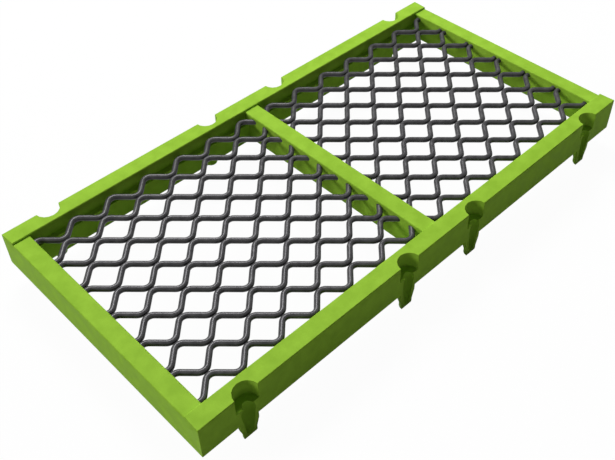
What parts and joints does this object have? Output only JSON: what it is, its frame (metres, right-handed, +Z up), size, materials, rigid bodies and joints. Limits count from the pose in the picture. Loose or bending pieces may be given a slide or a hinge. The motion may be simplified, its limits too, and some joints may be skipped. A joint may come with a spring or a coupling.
{
  "type": "screen panel",
  "caption": "Modular vibrating screen panel: moulded polyurethane frame with a crossbar, half legs with pin seats along its long sides, and a mesh of wave wires in both bays.",
  "frame": {"origin": "middle of the seat plane, the flat underside of the rails and crossbar", "axes": "+X along the long side, +Y across the panel, +Z up, out of the top face"},
  "size_m": [0.61, 0.305, 0.0638],
  "materials": {
    "frame": "moulded polyurethane with a soft sheen",
    "wire": "dark drawn spring steel"
  },
  "bodies": {
    "root": {"panel_frame": "frame", "wire_01": "wire", "wire_02": "wire", "wire_03": "wire", "wire_04": "wire", "wire_05": "wire", "wire_06": "wire", "wire_07": "wire", "wire_08": "wire", "wire_09": "wire", "wire_10": "wire", "wire_11": "wire", "wire_12": "wire"}
  },
  "joints": []
}
